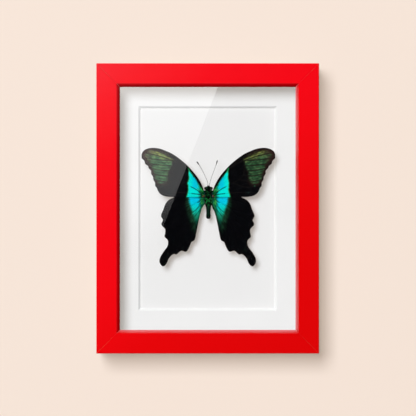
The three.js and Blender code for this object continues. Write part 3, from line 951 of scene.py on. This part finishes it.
makeWings()
print("wings made")


trunk = {
    "back": 0.9,  # middle of the body behind the wing roots
    "depth": 1.12,
    "sides": 40,
    "rings": 110,
    "segments": 8,
    "hairs": 2200,
    "looseTufts": 16,
    "tufts": [  # [across, up] of green ones
        [-0.6, 2.7], [1.2, 1.1], [-1.8, -0.2], [-0.4, -1.0], [1.9, -0.8], [-1.3, -3.1], [0.8, -2.2],
    ],
    "hairLength": 1.5,
    "hairRadius": 0.04,
    "abdomenTop": -5.0,
    "abdomenEnd": -16.5,
    "black": "030504",
    "abdomenGreen": "143c2c",
}

trunkProfile = [  # [up, half-width]
    [5.5, 0.0], [5.4, 1.5], [4.7, 2.4], [3.2, 2.85], [1.2, 3.0], [-1.2, 2.95], [-3.2, 2.65],
    [-4.8, 2.15], [-6.2, 2.05], [-8.2, 1.85], [-10.4, 1.65], [-12.4, 1.6], [-14.0, 1.75],
    [-15.4, 1.65], [-16.2, 1.1], [-16.5, 0.0],
]
chestWidths = [  # ups, then the half-widths where the hairs start
    [-5.5, -3.2, -1.2, 1.2, 3.2, 4.9],
    [2.05, 2.65, 2.9, 2.95, 2.8, 2.2],
]

rootLevel = wingPlan("forewing_left")[2] / mm + 0.6  # between the two pairs of wings


def fromThorax(point):  # [across, back, up] in millimetres into the frame's metres
    across, back, up = point
    return np.array([
        thoraxMiddle[0] + across * mm,
        (rootLevel + back) * mm,
        thoraxMiddle[1] + up * mm,
    ])


def bodyColour(name, light, share):
    bench = Bench(name)
    spot = bench.place()
    fine = bench.noise(spot, 3.0, 3.0)
    warped = bench.add("ShaderNodeVectorMath", {"operation": "ADD"}, [spot, fine])
    away = bench.add("ShaderNodeTexVoronoi", None, {"Vector": warped, "Scale": 0.62})
    cell = bench.add("ShaderNodeTexVoronoi", None, {"Vector": warped, "Scale": 0.62}, out=1)
    chosen = bench.ease(bench.split(cell, 0), share, share + 0.1)
    up = bench.split(spot, 2) - thoraxMiddle[1] / mm
    green = chosen * bench.ease(away + (fine - 0.5) * 0.3, 0.5, 0.22) * bench.ease(up, -9.0, -4.0)
    facing = bench.add("ShaderNodeNewGeometry", out=1)
    top = bench.ease(bench.split(facing, 1) * -1.0 + (fine - 0.5) * 0.4, 0.5, 1.0)
    belt = bench.ease(up, -3.0, -7.0) * bench.ease(up, -15.5, -12.5)
    colour = bench.mix(top * belt * 0.4, paint(trunk["black"]), paint(trunk["abdomenGreen"]))
    colour = bench.mix(green, colour, paint(light))
    return bench.close({
        "Base Color": colour,
        "Roughness": 0.7 + 0.2 * fine,
        "Specular IOR Level": 0.15,
        "Normal": bench.bump(fine, 0.08, 0.7),
    })


def tuftPlaces():  # [across, up] of the small tufts of green hair on the thorax, and how narrow each is
    rng = np.random.default_rng(8)
    known = trunk["tufts"]
    more = rng.uniform([-2.6, -5.0], [2.6, 4.6], (trunk["looseTufts"], 2))
    narrow = [0.4] + [1.0] * (len(known) - 1) + [1.4] * len(more)
    return np.vstack([known, more]), np.array(narrow)


def makeTrunk():
    profile = smoothPath(trunkProfile, 8)
    lengths = np.r_[0, np.cumsum(np.linalg.norm(np.diff(profile, axis=0), axis=1))]
    even = np.linspace(0, lengths[-1], trunk["rings"])
    ups = np.interp(even, lengths, profile[:, 0])
    halves = np.interp(even, lengths, profile[:, 1]).clip(0.02)
    points = []
    sides, top = trunk["sides"], trunk["abdomenTop"]
    for up, half in zip(ups, halves):
        ring = (up - top) / (top - trunk["abdomenEnd"]) * trunk["segments"]
        pinch = 1 - 0.09 * max(0, math.cos(2 * math.pi * ring)) ** 6 if up < top else 1
        for k in range(sides):
            turn = 2 * math.pi * k / sides
            wide = half * pinch * (1 + 0.02 * math.sin(5 * turn + up * 3))
            points.append(fromThorax([
                wide * math.cos(turn), trunk["back"] + wide * trunk["depth"] * math.sin(turn), up,
            ]))
    flaps = [ball([side * 2.75, trunk["back"] - 0.3, 3.4], [0.95, 1.0, 1.6]) for side in (-1, 1)]
    points, faces = gather([(points, ringFaces(len(ups), sides)), *flaps])
    piece = meshPiece("body_trunk", points, faces, [bodyColour("trunkScales", "128c3c", 0.45)])
    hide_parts("body")
    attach(piece, "root")


def ball(middle, radii, across=28, around=20):  # its poles are small flat caps
    points, faces = [], []
    for i in range(around + 1):
        tilt = math.pi * (0.004 + 0.992 * i / around)
        for k in range(across):
            turn = 2 * math.pi * k / across
            points.append(fromThorax([
                middle[0] + radii[0] * math.sin(tilt) * math.cos(turn),
                middle[1] + radii[1] * math.sin(tilt) * math.sin(turn),
                middle[2] + radii[2] * math.cos(tilt),
            ]))
    for i in range(around):
        for k in range(across):
            a, b = i * across + k, i * across + (k + 1) % across
            faces.append((a, a + across, b + across, b))
    faces.append(tuple(range(across)))
    faces.append(tuple(reversed(range(around * across, (around + 1) * across))))
    return points, faces


head = {"up": 6.5, "half": [2.1, 1.9, 1.8], "eyeAcross": 2.05, "eyeUp": 6.4, "eyeRadius": 1.25}


def eyeGloss():
    bench = Bench("compoundEye")
    cells = bench.add("ShaderNodeTexVoronoi", None, {"Vector": bench.place(), "Scale": 7.0})
    return bench.close({
        "Base Color": bench.mix(cells, paint("0c0906"), paint("1d1610")),
        "Roughness": 0.22 + 0.1 * cells,
        "Normal": bench.bump(cells, 0.03, 0.5),
    })


def makeHead():
    skull = ball([0, trunk["back"], head["up"]], head["half"])
    palps = []
    for side in (-1, 1):
        path = smoothPath([
            [side * 0.7, trunk["back"] - 0.4, 6.6],
            [side * 0.55, trunk["back"] - 0.7, 7.8],
            [side * 0.25, trunk["back"] - 0.6, 8.8],
        ], 5)
        spots = [fromThorax(p) for p in path]
        palps.append(tubeMesh(spots, np.linspace(0.65, 0.18, len(spots)) * mm, 10))
    piece = meshPiece("head", *gather([skull, *palps]), [bodyColour("headScales", "0f3c1e", 0.62)])
    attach(piece, "root")
    eyes = []
    for side in (-1, 1):
        spot = [side * head["eyeAcross"], trunk["back"], head["eyeUp"]]
        eyes.append(ball(spot, [head["eyeRadius"]] * 3, 20, 14))
    piece = meshPiece("eyes", *gather(eyes), [eyeGloss()])
    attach(piece, "root")


def hairTints():
    bench = Bench("bodyHairs")
    tint = bench.stored("tint")
    colour = bench.ramp(tint, [
        (0.0, paint("020302")),
        (0.7, paint("040805")),
        (0.8, paint("0c7a34")),
        (1.0, paint("48e07c")),
    ])
    return bench.close({
        "Base Color": colour,
        "Roughness": 0.5 + 0.2 * tint,
        "Specular IOR Level": 0.25,
    })


def makeHairs():  # short swept hairs over the thorax and head
    rng = np.random.default_rng(5)
    tufts, narrow = tuftPlaces()
    parts, tints = [], []
    for _ in range(trunk["hairs"]):
        up = rng.uniform(-5.5, 8.0)
        turn = rng.uniform(0, 2 * math.pi)
        onHead = up > 4.9
        if onHead:
            share = math.sqrt(max(0.05, 1 - ((up - head["up"]) / head["half"][2]) ** 2))
            half = head["half"][0] * share
        else:
            half = np.interp(up, *chestWidths)
        if onHead and abs(math.cos(turn)) > 0.75:
            continue  # the eyes are bare
        out = np.array([math.cos(turn), trunk["depth"] * math.sin(turn), 0])
        start = np.array([0, trunk["back"], up]) + out * half * 0.95
        sweep = np.array([rng.normal(0, 0.15), rng.normal(0, 0.15), -0.75 if up < 3 else 0.35])
        length = trunk["hairLength"] * rng.uniform(0.5, 1.0) * (0.75 if onHead else 1)
        lift = out * rng.uniform(0.22, 0.5)
        halfway = start + (lift + sweep * 0.5) * length * 0.5
        end = start + (lift * 0.9 + sweep * 1.2) * length
        spots = [fromThorax(p) for p in (start, halfway, end)]
        radii = np.array([1, 0.75, 0.15]) * trunk["hairRadius"] * rng.uniform(0.8, 1.5) * mm
        parts.append(tubeMesh(spots, radii, 3))
        away = np.linalg.norm(tufts - (start[0], up + 0.4), axis=1) * narrow
        near = away.min() < rng.uniform(0.25, 0.8)
        green = near and math.sin(turn) < 0
        tints.extend([rng.uniform(0.8, 1) if green else rng.uniform(0, 0.72)] * 9)
    piece = meshPiece("body_hairs", *gather(parts), [hairTints()])
    storeNumbers(piece, "tint", tints)
    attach(piece, "root")


antennaPaths = {  # [across, back, up]
    "left": [
        [-0.3, 0.2, 7.2], [-0.5, -0.6, 10.6], [-2.1, -1.3, 14.8], [-5.4, -2.0, 21.5],
        [-8.7, -2.3, 26.4],
    ],
    "right": [
        [0.4, 0.2, 7.2], [1.2, -0.6, 11.0], [2.9, -1.3, 16.4], [5.0, -2.0, 21.8], [6.8, -2.3, 27.4],
    ],
}
antenna = {"radius": 0.13, "clubRadius": 0.46, "clubStart": 0.8, "joints": 46, "sides": 10}


def antennaSkin():
    bench = Bench("antennaSkin")
    joints = bench.stored("joint")
    fine = bench.noise(bench.place(), 3.0, 2.0)
    return bench.close({
        "Base Color": bench.mix(joints, paint("262423"), paint("0e0d0d")),
        "Roughness": 0.42 + 0.2 * fine,
        "Specular IOR Level": 0.3,
    })


def makeAntennae():
    parts, joints = [], []
    for points in antennaPaths.values():
        path = smoothPath(points, 40)
        lengths = np.r_[0, np.cumsum(np.linalg.norm(np.diff(path, axis=0), axis=1))]
        shares = lengths / lengths[-1]
        swell = np.clip((shares - antenna["clubStart"]) / (1 - antenna["clubStart"]), 0, 1)
        club = np.sin(np.clip(swell * 1.18, 0, 1) * math.pi / 2) ** 1.5
        tip = np.sqrt(np.clip((1 - shares) / 0.025, 0.03, 1))
        rings = np.cos(shares * antenna["joints"] * 2 * math.pi) ** 8
        radii = (antenna["radius"] + (antenna["clubRadius"] - antenna["radius"]) * club) * tip
        radii = radii * (1 - 0.12 * rings)
        parts.append(tubeMesh([fromThorax(p) for p in path], radii * mm, antenna["sides"]))
        joints.extend(np.repeat(rings, antenna["sides"]))
    piece = meshPiece("antennae", *gather(parts), [antennaSkin()])
    storeNumbers(piece, "joint", joints)
    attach(piece, "root")


legPath = [[1.0, 1.8, 0], [2.6, 3.4, 0.9], [3.0, 4.6, -0.6], [2.2, 5.6, -2.8], [2.0, 6.2, -4.2]]
legUps = [2.6, -0.4, -3.2]


def makeLegs():
    parts = []
    for side in (-1, 1):
        for up in legUps:
            path = smoothPath([[side * a, b, up + c] for a, b, c in legPath], 8)
            radii = np.interp(np.linspace(0, 1, len(path)), [0, 0.3, 0.55, 1], [0.3, 0.2, 0.15, 0.08])
            parts.append(tubeMesh([fromThorax(p) for p in path], radii * mm, 8))
    piece = meshPiece("legs", *gather(parts), [bodyColour("legSkin", "1a2a1c", 0.7)])
    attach(piece, "root")


makeTrunk()
makeHead()
makeHairs()
makeAntennae()
makeLegs()
print("body made")


studio = {
    "wall": "f5e4d7",
    "wallCloud": (0.8, 0.7, 0.6, 1),
    "wallGap": 0.0003,  # lengths here are in metres
    "wallHalf": 2,
    "wallTop": 1.6,  # above the middle of the frame
    "floor": "efe9e2",
    "floorCloud": (0.7, 0.65, 0.6, 1),
    "floorDrop": 1.1,
    "floorHalf": (3, 4),
    "keyAway": 9.0,  # in front of the wall
    "keyAcross": -0.285,  # and to the left, as a share of that
    "keyUp": 0.345,
    "keySize": (0.46, 0.54),
    "keyPower": 645,
    "keyColour": (0.95, 1.01, 1.07),
    "fillPower": 1.25,
    "fillColour": (1.085, 0.99, 0.9),
    "backPower": 1.6,
    "backdrop": (0.84, 0.81, 0.78, 1),
    "roomLight": 0.1,  # all round
    "frontGloss": (0.006, 0.006, 0.007, 1),  # what shiny surfaces see straight ahead
    "roomGloss": 0.15,  # to the sides
    "backGloss": 0.75,  # and behind the wall
    "panelPower": 3.4,  # pale panel that the glass mirrors
}


def sheetPiece(name, corners, material):
    piece = meshPiece(name, corners, [tuple(range(len(corners)))], [material], smooth=False)
    return piece


def wallPaint():  # seen from the front only, so that the back of the frame can be looked at
    bench = Bench("wallPaint")
    tone = bench.noise(bench.place(), 0.004, 2.0)
    front = bench.add("ShaderNodeBsdfPrincipled", None, {
        "Base Color": bench.mix(tone * 0.03, paint(studio["wall"]), studio["wallCloud"]),
        "Roughness": 0.9,
        "Specular IOR Level": 0.0,
    })
    clear = bench.add("ShaderNodeBsdfTransparent")
    behind = bench.add("ShaderNodeNewGeometry", out=6)
    both = bench.add("ShaderNodeMixShader", None, [behind, front, clear])
    bench.add("ShaderNodeOutputMaterial", None, [both])
    return bench.material


def floorPaint():
    bench = Bench("floorPaint")
    tone = bench.noise(bench.place(), 0.01, 3.0)
    return bench.close({
        "Base Color": bench.mix(tone * 0.04, paint(studio["floor"]), studio["floorCloud"]),
        "Roughness": 0.8,
        "Specular IOR Level": 0.2,
    })


def panelGlow():  # bright above, fading out at its lower end
    bench = Bench("panelGlow")
    up = bench.split(bench.place(), 2) - frameMiddle.z / mm
    glow = bench.ease(up, -90.0, 50.0) * 0.225 + bench.ease(up, 60.0, 150.0) * 0.05
    glow = glow + bench.ease(up, 150.0, 212.0) ** 2.0 * 0.75
    light = bench.add("ShaderNodeEmission", None, {
        "Color": bench.mix(glow, (0, 0, 0, 1), (1, 1, 1, 1)),
        "Strength": studio["panelPower"],
    })
    bench.add("ShaderNodeOutputMaterial", None, [light])
    return bench.material


def makeRoom():
    low, high = frameMiddle.z - studio["floorDrop"], frameMiddle.z + studio["wallTop"]
    half, gap = studio["wallHalf"], studio["wallGap"]
    wall = sheetPiece("wall", [
        (-half, gap, low), (half, gap, low), (half, gap, high), (-half, gap, high),
    ], wallPaint())
    wall.visible_shadow = False
    wall.visible_glossy = False  # the hanger would mirror its shaded front
    half, deep = studio["floorHalf"]
    floor = sheetPiece("floor", [
        (-half, -deep, low), (half, -deep, low), (half, deep, low), (-half, deep, low),
    ], floorPaint())
    floor.visible_diffuse = False
    floor.visible_glossy = False


panelEdge = [(-72.5, -28.0), (15.8, 197.4)]  # slanting right edge of the pale panel, from the middle
panelReach = {"left": -152, "top": 206, "bottom": -90, "away": 1600}


def makePanel():
    (x0, up0), (x1, up1) = panelEdge
    slope = (x1 - x0) / (up1 - up0)
    corners = [
        (panelReach["left"], panelReach["bottom"]),
        (x0 + slope * (panelReach["bottom"] - up0), panelReach["bottom"]),
        (x0 + slope * (panelReach["top"] - up0), panelReach["top"]),
        (panelReach["left"], panelReach["top"]),
    ]
    spots = [(x * mm, -panelReach["away"] * mm, frameMiddle.z + up * mm) for x, up in corners]
    panel = sheetPiece("pale_panel", spots, panelGlow())
    panel.visible_camera = False
    panel.visible_diffuse = False
    panel.visible_shadow = False


def hangLamp(name, lamp, direction, power, colour):  # kept out of what the glass mirrors
    lamp.energy = power
    lamp.color = colour
    holder = bpy.data.objects.new(name, lamp)
    holder.rotation_euler = Vector(direction).to_track_quat("-Z", "Y").to_euler()
    holder.visible_camera = False
    holder.visible_glossy = False
    holder.visible_transmission = False
    bpy.context.scene.collection.objects.link(holder)
    return holder


def plainSun(name, direction, power, colour=(1, 1, 1)):  # even light that casts no shadows
    lamp = bpy.data.lights.new(name, "SUN")
    lamp.angle = 0
    lamp.use_shadow = False
    hangLamp(name, lamp, direction, power, colour)


def makeWorld():  # dim in front, where the glass would mirror it, and paler to the sides
    world = bpy.data.worlds.new("room")
    bpy.context.scene.world = world
    room = Bench("room", world)
    toward = room.add("ShaderNodeTexCoord", out=0)
    ahead = room.split(toward, 1) * -1.0
    sides = 1 - room.ease(ahead, 0.3, 0.88)
    glossy = room.mix(sides, studio["frontGloss"], [studio["roomGloss"]] * 3 + [1])
    glossy = room.mix(room.ease(ahead, 0.0, -0.6), glossy, [studio["backGloss"]] * 3 + [1])
    plain = [studio["roomLight"]] * 3 + [1]
    seen = room.add("ShaderNodeLightPath", out=0)
    mirrored = room.add("ShaderNodeLightPath", out=3)
    colour = room.mix(mirrored, plain, glossy)
    colour = room.mix(seen, colour, studio["backdrop"])
    glow = room.add("ShaderNodeBackground", None, [colour, 1.0])
    room.add("ShaderNodeOutputWorld", None, [glow])


def makeLights():
    away = studio["keyAway"]
    lamp = bpy.data.lights.new("key", "AREA")
    lamp.shape = "RECTANGLE"
    lamp.size, lamp.size_y = [share * away for share in studio["keySize"]]
    key = hangLamp("key", lamp, (0, 1, 0), studio["keyPower"], studio["keyColour"])
    key.location = (
        frameMiddle.x + studio["keyAcross"] * away,
        -away,
        frameMiddle.z + studio["keyUp"] * away,
    )
    plainSun("fill", (0.25, 1, -0.3), studio["fillPower"], studio["fillColour"])
    plainSun("backFill", (0.35, -1, -0.5), studio["backPower"])
    makeWorld()


makeRoom()
makePanel()
makeLights()
print("studio made")
